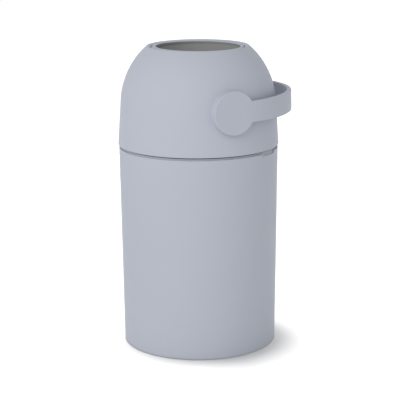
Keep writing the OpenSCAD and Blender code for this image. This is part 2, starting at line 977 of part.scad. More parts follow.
module piston_seal() {
    color(seal_color)
        translate([0, 0, piston_mid_z - wiper_t / 2])
            rotate_extrude() {
                translate([wiper_in_r, 0])
                    square([piston_r - wiper_in_r, wiper_t]);
                translate([piston_r - fit_gap, wiper_t / 4])
                    square([barrel_r - soft_gap - piston_r + fit_gap, wiper_t / 2]);
            }
}

module piston_weight() {
    color(steel_color)
        translate([0, 0, piston_mid_z - weight_t / 2])
            ring(pin_r + pin_wall, weight_r, weight_t);
}

bucket();
bag_ring();
rim_gasket();
head_shell();
head_frame();
frame_screws();
spigot_seal();
top_seal();
bottom_seal();
bush_front();
bush_rear();
drum_upper();
drum_lower();
barrel_liner();
end_ring_upper();
end_ring_lower();
axle_front();
axle_rear();
handle();
handle_screws();
piston_upper();
piston_lower();
piston_seal();
piston_weight();
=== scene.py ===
# %% [markdown]
# # A nappy bin in Blender
# The bin is three mouldings that show and a mechanism that mostly doesn't: a tall bucket, a domed
# head, and a loop handle whose axle turns a ball drum inside the head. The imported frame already
# holds every piece at its real size, so this lesson never moves anything. It gives each piece its
# finish, models the mouldings again where a mesh can hold softer edges than the frame has, and
# sets up a small studio.

# %% Load the frame
import json
import math

import bpy
import bmesh
from mathutils import Matrix, Vector


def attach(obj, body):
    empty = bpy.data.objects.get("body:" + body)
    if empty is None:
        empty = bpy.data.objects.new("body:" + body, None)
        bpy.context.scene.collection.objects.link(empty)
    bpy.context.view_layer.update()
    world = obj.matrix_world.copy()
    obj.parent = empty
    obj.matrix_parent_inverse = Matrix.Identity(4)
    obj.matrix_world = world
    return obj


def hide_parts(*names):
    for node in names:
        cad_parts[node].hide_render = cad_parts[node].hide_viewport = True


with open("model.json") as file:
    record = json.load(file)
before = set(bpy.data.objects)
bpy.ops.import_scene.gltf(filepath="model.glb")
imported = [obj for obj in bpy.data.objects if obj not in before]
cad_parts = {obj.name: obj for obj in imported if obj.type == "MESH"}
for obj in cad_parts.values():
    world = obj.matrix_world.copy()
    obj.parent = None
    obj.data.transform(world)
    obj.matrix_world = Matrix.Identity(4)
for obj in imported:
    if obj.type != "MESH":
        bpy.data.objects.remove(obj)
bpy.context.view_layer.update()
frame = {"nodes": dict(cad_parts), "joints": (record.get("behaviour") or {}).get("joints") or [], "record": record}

nodes = frame["nodes"]

# %% [markdown]
# ## The camera
# A long lens from a little above keeps the walls of the bin nearly parallel. It is easiest to say
# where such a camera stands as a turntable does: an azimuth round the object, an elevation, and a
# distance from the point that it looks at, which here lies on the bin's own axis.

# %% Camera
VIEW_AZIMUTH = math.radians(-24.70)
VIEW_ELEVATION = math.radians(13.33)
VIEW_DISTANCE = 2.684
VIEW_ROLL = math.radians(-0.42)
VIEW_TARGET = Vector((0.0019, -0.0008, 0.2671))
LENS_MM = 128.56
SENSOR_MM = 36


def turntable(azimuth, elevation, distance, target):
    """The place at that distance from the target, counted as a turntable counts its angles."""
    return target + distance * Vector((
        math.sin(azimuth) * math.cos(elevation),
        -math.cos(azimuth) * math.cos(elevation),
        math.sin(elevation),
    ))


def aim(thing, target, roll=0.0):
    """Turn a camera or a lamp so that it looks at the target."""
    facing = (target - thing.location).to_track_quat("-Z", "Y").to_matrix()
    thing.rotation_euler = (facing @ Matrix.Rotation(roll, 3, "Z")).to_euler()


camera = bpy.data.objects.new("camera", bpy.data.cameras.new("camera"))
camera.data.lens = LENS_MM
camera.data.sensor_width = SENSOR_MM
camera.location = turntable(VIEW_AZIMUTH, VIEW_ELEVATION, VIEW_DISTANCE, VIEW_TARGET)
aim(camera, VIEW_TARGET, VIEW_ROLL)
bpy.context.scene.collection.objects.link(camera)
bpy.context.scene.camera = camera
bpy.context.scene.view_settings.view_transform = "Standard"
print("camera at", tuple(round(c, 3) for c in camera.location))

# %% [markdown]
# ## Writing shader maths as sums
# A finish is a small network of nodes, and most of the network is arithmetic on masks. A class that
# wraps one socket and answers to + - * / lets that arithmetic be written as it is read. Everything
# that isn't a sum goes through one method, which sets a node's own settings before its sockets.

# %% Value and Finish
class Value:
    """One output socket, which takes part in sums and products."""

    def __init__(self, finish, socket):
        self.finish = finish
        self.socket = socket

    def _maths(self, operation, first, second):
        return self.finish.node("ShaderNodeMath", {"operation": operation}, {0: first, 1: second})

    def __add__(self, other):
        return self._maths("ADD", self, other)

    def __radd__(self, other):
        return self._maths("ADD", other, self)

    def __sub__(self, other):
        return self._maths("SUBTRACT", self, other)

    def __rsub__(self, other):
        return self._maths("SUBTRACT", other, self)

    def __mul__(self, other):
        return self._maths("MULTIPLY", self, other)

    def __rmul__(self, other):
        return self._maths("MULTIPLY", other, self)


class Finish:
    """A material that is being written."""

    def __init__(self, name):
        self.material = bpy.data.materials.new(name)
        self.material.use_nodes = True
        self.tree = self.material.node_tree
        self.surface = self.tree.nodes["Principled BSDF"]

    def node(self, kind, settings=None, sockets=None, output=0):
        """Add a node: its settings first, then values or links for its sockets."""
        new = self.tree.nodes.new(kind)
        for name, value in (settings or {}).items():
            setattr(new, name, value)
        for key, value in (sockets or {}).items():
            self.plug(new.inputs[key], value)
        return Value(self, new.outputs[output])

    def plug(self, socket, value):
        """Link a Value to a socket, or set a plain value on it."""
        if isinstance(value, Value):
            self.tree.links.new(value.socket, socket)
        else:
            socket.default_value = value

    def place(self):
        """Where a point of the piece is, in metres."""
        return self.node("ShaderNodeTexCoord", output="Object")

    def noise(self, size, detail=2.0, roughness=0.5):
        """Noise whose lumps are about that many metres across."""
        return self.node(
            "ShaderNodeTexNoise", {},
            {"Vector": self.place(), "Scale": 1 / size, "Detail": detail, "Roughness": roughness})

    def band(self, value, low, high):
        """0 below low, 1 above high, and a smooth step between."""
        return self.node(
            "ShaderNodeMapRange", {"interpolation_type": "SMOOTHSTEP"},
            {"Value": value, "From Min": low, "From Max": high})

    def blend(self, amount, first, second):
        """A colour between two others."""
        return self.node(
            "ShaderNodeMix", {"data_type": "RGBA"},
            {"Factor": amount, 6: first, 7: second}, output=2)

    def bump(self, height, distance, strength=1.0):
        """A normal that is tilted by a height, whose full range is that many metres."""
        return self.node(
            "ShaderNodeBump", {}, {"Height": height, "Distance": distance, "Strength": strength})

    def finish(self, **sockets):
        """Set the surface's own sockets, with _ for a space in their names."""
        for name, value in sockets.items():
            self.plug(self.surface.inputs[name.replace("_", " ")], value)
        return self.material


def srgb(red, green, blue):
    """A colour as a paint card gives it, from 0 to 255, as the linear colour that shaders want."""
    def linear(level):
        share = level / 255
        return share / 12.92 if share <= 0.04045 else ((share + 0.055) / 1.055) ** 2.4
    return (linear(red), linear(green), linear(blue), 1)


# %% [markdown]
# ## Moulded plastic
# The bucket, head and handle are one satin plastic. A mould for such a part is lightly blasted, so
# the skin has a grain a few tenths of a millimetre across: it softens reflections more than it
# shows. The colour drifts by a per cent or so where the melt flowed, and wiping and handling leave
# faint smoother patches. The blasted skin hardly mirrors at all, so its specular level is low. The
# ring, the liner, the bushes and even the rubber seals are the same recipe in other colours.

# %% Satin plastic
GRAIN = 0.0006
GRAIN_HEIGHT = 0.000012
FLOW = 0.16
SPECK = 0.0018
SPECK_SHARE = 0.2
WIPE = 0.045
WIPED_FROM, WIPED_TO = 0.42, 0.72
SPECK_ROUGHER = 0.06
WIPED_SMOOTHER = 0.07
PLASTIC_IOR = 1.46
PLASTIC_SPECULAR = 0.06


def satin_plastic(name, colour, shade, roughness=0.46):
    """Blasted satin plastic: a colour, and the shade that it drifts to."""
    f = Finish(name)
    flow = f.noise(FLOW, detail=2.0)
    speck = f.noise(SPECK, detail=3.0, roughness=0.7)
    wiped = f.band(f.noise(WIPE, detail=4.0, roughness=0.6), WIPED_FROM, WIPED_TO)
    drift = flow * (1 - SPECK_SHARE) + speck * SPECK_SHARE
    grain = f.noise(GRAIN, detail=1.0)
    return f.finish(
        Base_Color=f.blend(drift, colour, shade),
        Roughness=roughness + speck * SPECK_ROUGHER - wiped * WIPED_SMOOTHER,
        Normal=f.bump(grain, GRAIN_HEIGHT),
        IOR=PLASTIC_IOR,
        Specular_IOR_Level=PLASTIC_SPECULAR,
    )


shell_plastic = satin_plastic("shell_plastic", srgb(190, 194, 205), srgb(186, 191, 203))
ring_plastic = satin_plastic("ring_plastic", srgb(188, 192, 202), srgb(184, 188, 199))
liner_plastic = satin_plastic("liner_plastic", srgb(163, 164, 163), srgb(158, 159, 158), 0.5)
bush_plastic = satin_plastic("bush_plastic", srgb(226, 226, 222), srgb(218, 218, 214), 0.4)
seal_rubber = satin_plastic("seal_rubber", srgb(66, 68, 70), srgb(58, 60, 62), 0.7)

# %% [markdown]
# ## Zinc-plated steel
# The screws and the piston's weight are steel with a thin coat of zinc. Zinc grows in crystals, or
# spangles, a few millimetres across, and each crystal is a little greyer and a little rougher than
# the next. One noise drives both, so that they change together.

# %% Steel
SPANGLE = 0.0025
STEEL_ROUGH = 0.24
SPANGLE_ROUGHER = 0.2


def zinc_steel(name):
    """Zinc-plated steel, for the screws and the piston's weight."""
    f = Finish(name)
    spangle = f.noise(SPANGLE, detail=3.0)
    return f.finish(
        Base_Color=f.blend(spangle, srgb(186, 188, 190), srgb(164, 166, 170)),
        Roughness=STEEL_ROUGH + spangle * SPANGLE_ROUGHER,
        Metallic=1.0,
    )


screw_steel = zinc_steel("screw_steel")

# %% [markdown]
# ## Finishes for the frame's own nodes
# The record names a material slot for every node of the frame. The finishes have the same names, so
# one loop dresses all of the nodes, including those that new pieces replace further on.

# %% Give every node its finish
FINISHES = {
    "shell_plastic": shell_plastic,
    "ring_plastic": ring_plastic,
    "liner_plastic": liner_plastic,
    "bush_plastic": bush_plastic,
    "seal_rubber": seal_rubber,
    "screw_steel": screw_steel,
}
for subpart in frame["record"]["subparts"]:
    piece = nodes[subpart["node"]]
    piece.data.materials.clear()
    piece.data.materials.append(FINISHES[subpart["material_slot"]])
print("finishes:", sorted(FINISHES))

# %% [markdown]
# ## The loop handle
# The handle is one strip of plastic with a disc at each end, bent into a loop. On the real moulding
# the faces of the discs run into the strip without a step, and one soft edge goes all the way
# round. Bending a finished flat plate keeps both of those: its outline is drawn flat, its edges are
# rounded while they still lie in a plane, and only then does a curve bend it. The discs' rear edges
# stay crisp, because they sit close on the pedestals and a soft one would leave a groove there.
#
# An outline is drawn by pulling one vertex along: straight by extruding it, and round by spinning
# it. The vertex is what is left of a small plane whose corners are merged.

# %% Drawing with one vertex
SEED_SIZE = 0.01


def begin_outline(name, x, y, z):
    """A new mesh of one vertex, in edit mode."""
    bpy.ops.object.select_all(action="DESELECT")
    bpy.ops.mesh.primitive_plane_add(size=SEED_SIZE)
    piece = bpy.context.object
    piece.name = name
    bpy.ops.object.mode_set(mode="EDIT")
    bpy.ops.mesh.select_mode(type="VERT")
    bpy.ops.mesh.merge(type="CENTER")
    bpy.ops.transform.translate(value=(x, y, z))
    return piece


def draw_line(x, y, z):
    """Pull the vertex straight by that much."""
    bpy.ops.mesh.extrude_vertices_move(TRANSFORM_OT_translate={"value": (x, y, z)})


def draw_arc(centre, degrees, steps, axis=(0, 1, 0)):
    """Pull the vertex round a centre. Seen along the axis, positive degrees go clockwise."""
    bpy.ops.mesh.spin(steps=steps, angle=-math.radians(degrees), center=centre, axis=axis)


def select_edges(piece, wanted):
    """Select the edges whose two ends both pass the test."""
    bpy.ops.mesh.select_mode(type="EDGE")
    bpy.ops.mesh.select_all(action="DESELECT")
    mesh = bmesh.from_edit_mesh(piece.data)
    for edge in mesh.edges:
        edge.select_set(all(wanted(vertex.co) for vertex in edge.verts))
    bmesh.update_edit_mesh(piece.data)
    return sum(edge.select for edge in mesh.edges)


# %% Sizes of the handle
joints = {joint["name"]: joint for joint in frame["joints"]}
PIVOT = joints["handle_flip"]["pos_m"][2]
HANDLE_OUT = 0.15531
HANDLE_AHEAD = 0.019
HANDLE_THICK = 0.0085
HANDLE_RISE = math.radians(1.2)
DISC_R = 0.0395
BAND_WIDE = 0.0377
BAND_FILLET = 0.005
LEAD = 0.06

band_half = BAND_WIDE / 2
arms_apart = 2 * HANDLE_AHEAD + math.pi * HANDLE_OUT
near_disc, far_disc = LEAD, LEAD + arms_apart
fillet_x = math.sqrt((DISC_R + BAND_FILLET) ** 2 - (band_half + BAND_FILLET) ** 2)
fillet_from = math.degrees(math.atan2(band_half + BAND_FILLET, fillet_x))
print("strip between the discs' centres:", round(arms_apart * 1000, 1), "mm")

# %% The flat plate
DISC_STEPS = 72
FILLET_STEPS = 8
CLOSES_UNDER = 1e-5

handle = begin_outline(
    "handle_loop",
    near_disc + DISC_R * math.cos(math.radians(fillet_from)), 0,
    PIVOT + DISC_R * math.sin(math.radians(fillet_from)))
fillet_z = band_half + BAND_FILLET
disc_turn = 2 * fillet_from - 360
fillet_turn = 90 - fillet_from
strip = arms_apart - 2 * fillet_x

draw_arc((near_disc, 0, PIVOT), disc_turn, DISC_STEPS)
draw_arc((near_disc + fillet_x, 0, PIVOT - fillet_z), fillet_turn, FILLET_STEPS)
draw_line(strip, 0, 0)
draw_arc((far_disc - fillet_x, 0, PIVOT - fillet_z), fillet_turn, FILLET_STEPS)
draw_arc((far_disc, 0, PIVOT), disc_turn, DISC_STEPS)
draw_arc((far_disc - fillet_x, 0, PIVOT + fillet_z), fillet_turn, FILLET_STEPS)
draw_line(-strip, 0, 0)
draw_arc((near_disc + fillet_x, 0, PIVOT + fillet_z), fillet_turn, FILLET_STEPS)
bpy.ops.mesh.select_all(action="SELECT")
bpy.ops.mesh.remove_doubles(threshold=CLOSES_UNDER)
bpy.ops.mesh.edge_face_add()
bpy.ops.mesh.extrude_region_move(TRANSFORM_OT_translate={"value": (0, HANDLE_THICK, 0)})

# %% Soft edges
OUTER_SOFT = 0.0016
INNER_SOFT = 0.0012
ON_FACE = 1e-6
RIM_NEAR = 0.0001


def off_discs(co):
    """Is the point outside both discs' rims?"""
    return all(
        math.hypot(co.x - middle, co.z - PIVOT) > DISC_R + RIM_NEAR
        for middle in (near_disc, far_disc))


outer = select_edges(handle, lambda co: abs(co.y) < ON_FACE)
bpy.ops.mesh.bevel(offset=OUTER_SOFT, segments=5, affect="EDGES")
inner = select_edges(handle, lambda co: abs(co.y - HANDLE_THICK) < ON_FACE and off_discs(co))
bpy.ops.mesh.bevel(offset=INNER_SOFT, segments=4, affect="EDGES")
print("edges softened, outside:", outer, " inside:", inner)

# %% Cuts to bend at
BEND_STEPS = 128
STEPS_AHEAD = 16
CUT_MARGIN = 0.0005
SAME_POINT = 2e-6

step = math.pi * HANDLE_OUT / BEND_STEPS
cuts = 0
place = near_disc + HANDLE_AHEAD - STEPS_AHEAD * step
while place < far_disc + DISC_R - CUT_MARGIN:
    if place > near_disc - DISC_R + CUT_MARGIN:
        bpy.ops.mesh.select_all(action="SELECT")
        bpy.ops.mesh.bisect(plane_co=(place, 0, 0), plane_no=(1, 0, 0))
        cuts += 1
    place += step
bpy.ops.mesh.select_all(action="SELECT")
bpy.ops.mesh.remove_doubles(threshold=SAME_POINT)
bpy.ops.mesh.normals_make_consistent(inside=False)
bpy.ops.object.mode_set(mode="OBJECT")
print("cuts:", cuts, " faces:", len(handle.data.polygons))

# %% Bend it round the head
route = begin_outline("loop_route", -LEAD, -HANDLE_OUT, 0)
draw_line(LEAD + HANDLE_AHEAD, 0, 0)
draw_arc((HANDLE_AHEAD, 0, 0), 180, BEND_STEPS, axis=(0, 0, 1))
draw_line(-LEAD - HANDLE_AHEAD, 0, 0)
bpy.ops.object.mode_set(mode="OBJECT")
bpy.ops.object.convert(target="CURVE")
route = bpy.context.object
route.data.use_path = True
route.data.twist_mode = "Z_UP"

bpy.ops.object.select_all(action="DESELECT")
handle.select_set(True)
bpy.context.view_layer.objects.active = handle
bend = handle.modifiers.new("bend", "CURVE")
bend.object = route
bend.deform_axis = "POS_X"
bpy.ops.object.modifier_apply(modifier="bend")
bpy.data.objects.remove(route)

bpy.ops.object.mode_set(mode="EDIT")
bpy.ops.mesh.select_all(action="SELECT")
bpy.ops.transform.rotate(
    value=HANDLE_RISE, orient_axis="Y", center_override=(0, 0, PIVOT))
bpy.ops.object.mode_set(mode="OBJECT")

# %% [markdown]
# ## Handing a piece over
# Every new piece ends in the same way. It is shaded smoothly except over sharp edges, and its
# normals are weighted by the size of the faces, which keeps the large faces flat beside a narrow
# soft edge. Then the nodes that it stands for are hidden, and it is hung on the body that it rides on.

# %% Hand a piece over
SMOOTH_UNDER = math.radians(35)


def hand_over(piece, finish, slot, body, *stands_for):
    """Shade a finished piece smoothly, give it its finish, and put it in its nodes' place."""
    bpy.ops.object.select_all(action="DESELECT")
    piece.select_set(True)
    bpy.context.view_layer.objects.active = piece
    bpy.ops.object.shade_smooth_by_angle(angle=SMOOTH_UNDER)
    even = piece.modifiers.new("even", "WEIGHTED_NORMAL")
    even.keep_sharp = True
    bpy.ops.object.modifier_apply(modifier="even")
    piece.data.materials.append(finish)
    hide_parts(*stands_for)
    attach(piece, body)
    size = [round((max(v.co[i] for v in piece.data.vertices)
                   - min(v.co[i] for v in piece.data.vertices)) * 1000, 1) for i in range(3)]
    print(piece.name, "faces:", len(piece.data.polygons), " size in mm:", size)


hand_over(handle, shell_plastic, "shell_plastic", "drum", "handle")

# %% [markdown]
# ## Turned pieces
# The head, the bag ring and the ring in the mouth are round. Each is drawn as half of its section,
# to the right of the upright axis, and then swept once round that axis, as on a lathe. A section
# that is a closed outline gives a closed wall, with an inner face as well as an outer one.

# %% Drawing and sweeping a half section
def draw_to(piece, radius, height):
    """Pull the vertex straight to a place on the half section."""
    pen = next(v.co.copy() for v in bmesh.from_edit_mesh(piece.data).verts if v.select)
    draw_line(radius - pen.x, 0, height - pen.z)


def draw_round(radius, height, degrees, steps=6):
    """Pull the vertex round a place on the half section, and out of the way to the left."""
    draw_arc((radius, 0, height), -degrees, steps)


def turn(piece, steps=160):
    """Close the outline and sweep it round the upright axis."""
    bpy.ops.mesh.select_all(action="SELECT")
    bpy.ops.mesh.remove_doubles(threshold=SAME_POINT)
    bpy.ops.mesh.spin(steps=steps, angle=2 * math.pi, center=(0, 0, 0), axis=(0, 0, 1))
    bpy.ops.mesh.select_all(action="SELECT")
    bpy.ops.mesh.remove_doubles(threshold=SAME_POINT)
    bpy.ops.mesh.normals_make_consistent(inside=False)
    bpy.ops.object.mode_set(mode="OBJECT")
    print(piece.name, "turned, faces:", len(piece.data.polygons))


# %% [markdown]
# ## The ring in the mouth
# A ring of the shell's colour closes the top of the barrel, and shows as a narrow band inside the
# mouth. Its inner edge slopes back to a short sleeve of the liner's plastic, which hangs with it
# and closes the step to the barrel. The sleeve ends above the place where the piston stops. The
# drum hangs half a degree off, as it does in use: the band is wider on one side of the mouth, and
# so is the gap round it.

# %% Mouth ring
RING_OUT = 0.0842
RING_IN = 0.0779
RING_TOP = 0.5575
RING_EDGE = 0.0005
FLANGE = 0.0013
SLEEVE_OUT = 0.0799
SLEEVE_IN = 0.0793
SLEEVE_END = 0.5520
RING_DEEP = 0.0012
DRUM_HANGS = math.radians(-0.5)


def hang(piece):
    """Turn a piece of the drum about the handle's axle, by the angle that the drum is off."""
    bpy.ops.object.mode_set(mode="EDIT")
    bpy.ops.mesh.select_all(action="SELECT")
    bpy.ops.transform.rotate(
        value=DRUM_HANGS, orient_axis="Y", center_override=(0, 0, PIVOT))
    bpy.ops.object.mode_set(mode="OBJECT")


mouth_ring = begin_outline("mouth_ring", SLEEVE_OUT, 0, RING_TOP - FLANGE)
draw_to(mouth_ring, RING_OUT, RING_TOP - FLANGE)
draw_to(mouth_ring, RING_OUT, RING_TOP - RING_EDGE)
draw_round(RING_OUT - RING_EDGE, RING_TOP - RING_EDGE, 90)
draw_to(mouth_ring, RING_IN + RING_EDGE, RING_TOP)
draw_round(RING_IN + RING_EDGE, RING_TOP - RING_EDGE, 90)
draw_to(mouth_ring, RING_IN, RING_TOP - RING_DEEP)
draw_to(mouth_ring, SLEEVE_OUT, RING_TOP - FLANGE)
turn(mouth_ring)
hang(mouth_ring)
hand_over(mouth_ring, ring_plastic, "ring_plastic", "drum", "end_ring_upper")

# %% Barrel sleeve
sleeve = begin_outline("barrel_sleeve", SLEEVE_OUT, 0, RING_TOP - FLANGE)
draw_to(sleeve, RING_IN, RING_TOP - RING_DEEP)
draw_to(sleeve, SLEEVE_IN, SLEEVE_END)
draw_to(sleeve, SLEEVE_OUT, SLEEVE_END)
draw_to(sleeve, SLEEVE_OUT, RING_TOP - FLANGE)
turn(sleeve)
hang(sleeve)
hand_over(sleeve, liner_plastic, "liner_plastic", "drum")

# %% [markdown]
# ## The bag ring
# The bag is folded over this ring, which hangs in the top of the bucket. All that shows is a narrow
# band in the seam under the head, and a little more in the finger notch. Its shoulder closes the
# gap to the bucket's wall, and its large upper rounding leaves a dark line under the head.

# %% Bag ring
BAG_OUT = 0.143858
BAG_TOP = 0.3752
BAG_LOW = 0.352
BAG_WALL = 0.0022
BAG_ROUND = 0.0012
BAG_SHOULDER = 0.1446
SHOULDER_TOP = 0.3718
SHOULDER_LOW = 0.3640
SKIRT_R = 0.134058
SKIRT_LOW = 0.3619
BEAD_R = 0.0013
SOFT_EDGE = 0.001

bag_ring = begin_outline("bag_ring_soft", BAG_OUT - BAG_WALL, 0, BAG_LOW)
draw_to(bag_ring, BAG_OUT, BAG_LOW)
draw_to(bag_ring, BAG_OUT, SHOULDER_LOW)
draw_to(bag_ring, BAG_SHOULDER, SHOULDER_LOW + SOFT_EDGE)
draw_to(bag_ring, BAG_SHOULDER, SHOULDER_TOP)
draw_to(bag_ring, BAG_OUT, SHOULDER_TOP)
draw_to(bag_ring, BAG_OUT, BAG_TOP - BAG_ROUND)
draw_round(BAG_OUT - BAG_ROUND, BAG_TOP - BAG_ROUND, 90)
draw_to(bag_ring, SKIRT_R + SOFT_EDGE, BAG_TOP)
draw_round(SKIRT_R + SOFT_EDGE, BAG_TOP - SOFT_EDGE, 90)
draw_to(bag_ring, SKIRT_R, SKIRT_LOW)
draw_to(bag_ring, SKIRT_R + BAG_WALL, SKIRT_LOW)
draw_round(SKIRT_R + BAG_WALL, SKIRT_LOW + BEAD_R, 180)
draw_to(bag_ring, SKIRT_R + BAG_WALL, BAG_TOP - BAG_WALL)
draw_to(bag_ring, BAG_OUT - BAG_WALL, BAG_TOP - BAG_WALL)
draw_to(bag_ring, BAG_OUT - BAG_WALL, BAG_LOW)
turn(bag_ring, steps=192)
hand_over(bag_ring, ring_plastic, "ring_plastic", "bin", "bag_ring")

# %% [markdown]
# ## The scoop in the finger notch
# The notch in the bucket's rim isn't a plain hole: its floor curves up to the bag ring, so that a
# finger slides in under the head. The strip is drawn as a small section and swept through the
# notch's angle only.

# %% Notch scoop
NOTCH_AT = math.radians(-54.2)
NOTCH_W = 0.044
NOTCH_FLOOR = 0.3676
SCOOP_OUT = 0.1470
SCOOP_R = 0.0032
SCOOP_ARC = 67
SCOOP_STEPS = 20
NOTCH_PLAY = 0.0002

scoop_angle = (NOTCH_W - NOTCH_PLAY) / SCOOP_OUT
scoop = begin_outline("notch_scoop", BAG_SHOULDER, 0, NOTCH_FLOOR - SOFT_EDGE)
draw_to(scoop, SCOOP_OUT, NOTCH_FLOOR - SOFT_EDGE)
draw_to(scoop, SCOOP_OUT, NOTCH_FLOOR)
draw_arc((SCOOP_OUT, 0, NOTCH_FLOOR + SCOOP_R), SCOOP_ARC, steps=8)
draw_to(scoop, BAG_SHOULDER, NOTCH_FLOOR - SOFT_EDGE)
bpy.ops.mesh.select_all(action="SELECT")
bpy.ops.mesh.remove_doubles(threshold=SAME_POINT)
bpy.ops.mesh.edge_face_add()
bpy.ops.transform.rotate(
    value=-NOTCH_AT + scoop_angle / 2, orient_axis="Z", center_override=(0, 0, 0))
bpy.ops.mesh.spin(steps=SCOOP_STEPS, angle=-scoop_angle, center=(0, 0, 0), axis=(0, 0, 1))
bpy.ops.mesh.select_all(action="SELECT")
bpy.ops.mesh.normals_make_consistent(inside=False)
bpy.ops.object.mode_set(mode="OBJECT")
azimuths = [math.degrees(math.atan2(v.co.y, v.co.x)) for v in scoop.data.vertices]
print("scoop spans", round(min(azimuths), 1), "to", round(max(azimuths), 1), "degrees")
hand_over(scoop, shell_plastic, "shell_plastic", "bin")

# %% [markdown]
# ## The head
# The head is a cone that leans in by under four degrees and runs into a ball without a crease. At
# the mouth the ball turns over in a soft crest, and the lip inside it slopes down to a crisp edge.
# The lip's underside stops short of the drum, which has to turn below it. A round pedestal on each
# side carries a disc of the handle. It is a cylinder of its own until a Boolean joins it on.

# %% Sizes of the head
HEAD_LOW = 0.3772
HEAD_LEAN = math.radians(3.85)
DOME_Z = 0.450
DOME_R = 0.143576
HEAD_WALL = 0.0028
LIP_LOW = 0.5552
MOUTH_R = 0.0869
CREST_AT = 0.0932
CREST_ROUND = 0.0018
LIP_SLOPE = 20
LIP_EDGE = 0.0006
PEDESTAL_R = 0.0394
PEDESTAL_Y = 0.14671
PEDESTAL_ROOT = 0.133


# %% Places on the head's section
def cone_r(height, inset=0.0):
    """Radius of the head's cone at that height, or of a cone inside it."""
    return (DOME_R - inset - (height - DOME_Z) * math.sin(HEAD_LEAN)) / math.cos(HEAD_LEAN)


def dome_point(degrees, inset=0.0):
    """Radius and height of a point on the ball, at that angle above its middle."""
    angle = math.radians(degrees)
    return (DOME_R - inset) * math.cos(angle), DOME_Z + (DOME_R - inset) * math.sin(angle)


# %% The crest and the lip
lean = math.degrees(HEAD_LEAN)
crest_z = DOME_Z + math.sqrt((DOME_R - CREST_ROUND) ** 2 - CREST_AT ** 2)
crest_from = math.degrees(math.atan2(crest_z - DOME_Z, CREST_AT))
lip_inside = math.degrees(math.asin((LIP_LOW - DOME_Z) / (DOME_R - HEAD_WALL)))
slope = math.radians(LIP_SLOPE)
slope_to = MOUTH_R + LIP_EDGE * (1 - math.sin(slope))
slope_from_r = CREST_AT - CREST_ROUND * math.sin(slope)
slope_from_z = crest_z + CREST_ROUND * math.cos(slope)
slope_to_z = slope_from_z - (slope_from_r - slope_to) * math.tan(slope)
print("crest at:", round((crest_z + CREST_ROUND) * 1000, 2), "mm")

# %% The head's wall
DOME_STEPS = 40
head = begin_outline("head_dome", cone_r(HEAD_LOW, HEAD_WALL), 0, HEAD_LOW)
draw_to(head, cone_r(HEAD_LOW + SOFT_EDGE, SOFT_EDGE), HEAD_LOW)
draw_round(cone_r(HEAD_LOW + SOFT_EDGE, SOFT_EDGE), HEAD_LOW + SOFT_EDGE, 90 + lean, steps=5)
draw_to(head, *dome_point(lean))
draw_round(0, DOME_Z, crest_from - lean, steps=DOME_STEPS)
draw_round(CREST_AT, crest_z, 90 + LIP_SLOPE - crest_from, steps=10)
draw_to(head, slope_to, slope_to_z)
draw_round(MOUTH_R + LIP_EDGE, slope_to_z - LIP_EDGE * math.cos(slope), 90 - LIP_SLOPE, steps=4)
draw_to(head, MOUTH_R, LIP_LOW)
draw_to(head, *dome_point(lip_inside, HEAD_WALL))
draw_round(0, DOME_Z, lean - lip_inside, steps=DOME_STEPS)
draw_to(head, cone_r(HEAD_LOW, HEAD_WALL), HEAD_LOW)
turn(head, steps=224)

# %% Pedestals
for side in (-1, 1):
    bpy.ops.mesh.primitive_cylinder_add(
        vertices=128, radius=PEDESTAL_R, depth=PEDESTAL_Y - PEDESTAL_ROOT,
        location=(0, side * (PEDESTAL_Y + PEDESTAL_ROOT) / 2, PIVOT),
        rotation=(math.pi / 2, 0, 0))
    pedestal = bpy.context.object
    bpy.ops.object.select_all(action="DESELECT")
    head.select_set(True)
    bpy.context.view_layer.objects.active = head
    union = head.modifiers.new("union", "BOOLEAN")
    union.operation = "UNION"
    union.object = pedestal
    bpy.ops.object.modifier_apply(modifier="union")
    bpy.data.objects.remove(pedestal)
bpy.ops.object.mode_set(mode="EDIT")
bpy.ops.mesh.select_all(action="SELECT")
bpy.ops.mesh.remove_doubles(threshold=SAME_POINT)
bpy.ops.object.mode_set(mode="OBJECT")
hand_over(head, shell_plastic, "shell_plastic", "head", "head_shell")

# %% [markdown]
# ## The seal in the mouth, drawn up as painted shade
# The rubber seal under the mouth is drawn up into the gap between the mouth and the ball, so that
# a black lip fills the bottom of the gap. It is all that the gap shows: painted shade, a dark
# sheet where the gap is only in shadow, and it is what makes the gap read as dark.

# %% Mouth seal, drawn up as painted shade
BALL_R = 0.131976
SEAL_SHADE_GAP = 0.00015
# The seal's top reaches up into the gap: painted shade, black rubber standing in for its shadow.
SEAL_SHADE_TOP = 0.5557
SEAL_SHADE_LOW = 0.5485
SEAL_SHADE_WIDE = 0.0045

seal_shade_r = BALL_R + SEAL_SHADE_GAP
seal_shade_from = math.degrees(math.asin((SEAL_SHADE_TOP - PIVOT) / seal_shade_r))
seal_shade_to = math.degrees(math.asin((SEAL_SHADE_LOW - PIVOT) / seal_shade_r))
seal_shade_low_r = seal_shade_r * math.cos(math.radians(seal_shade_to))
seal_shade = begin_outline("mouth_seal_shade", seal_shade_r * math.cos(math.radians(seal_shade_from)), 0, SEAL_SHADE_TOP)
draw_round(0, PIVOT, seal_shade_to - seal_shade_from, steps=8)
draw_to(seal_shade, seal_shade_low_r + SEAL_SHADE_WIDE / 2, SEAL_SHADE_LOW)
draw_to(seal_shade, MOUTH_R + SEAL_SHADE_WIDE, LIP_LOW - SEAL_SHADE_GAP)
draw_to(seal_shade, MOUTH_R - SEAL_SHADE_GAP / 2, LIP_LOW - SEAL_SHADE_GAP)
draw_to(seal_shade, MOUTH_R - SEAL_SHADE_GAP / 2, SEAL_SHADE_TOP)
draw_to(seal_shade, seal_shade_r * math.cos(math.radians(seal_shade_from)), SEAL_SHADE_TOP)
turn(seal_shade, steps=192)
# A real seal below, painted shade above: the black lip stands in for the gap's shadow.
hand_over(seal_shade, seal_rubber, "seal_rubber", "head", "top_seal")

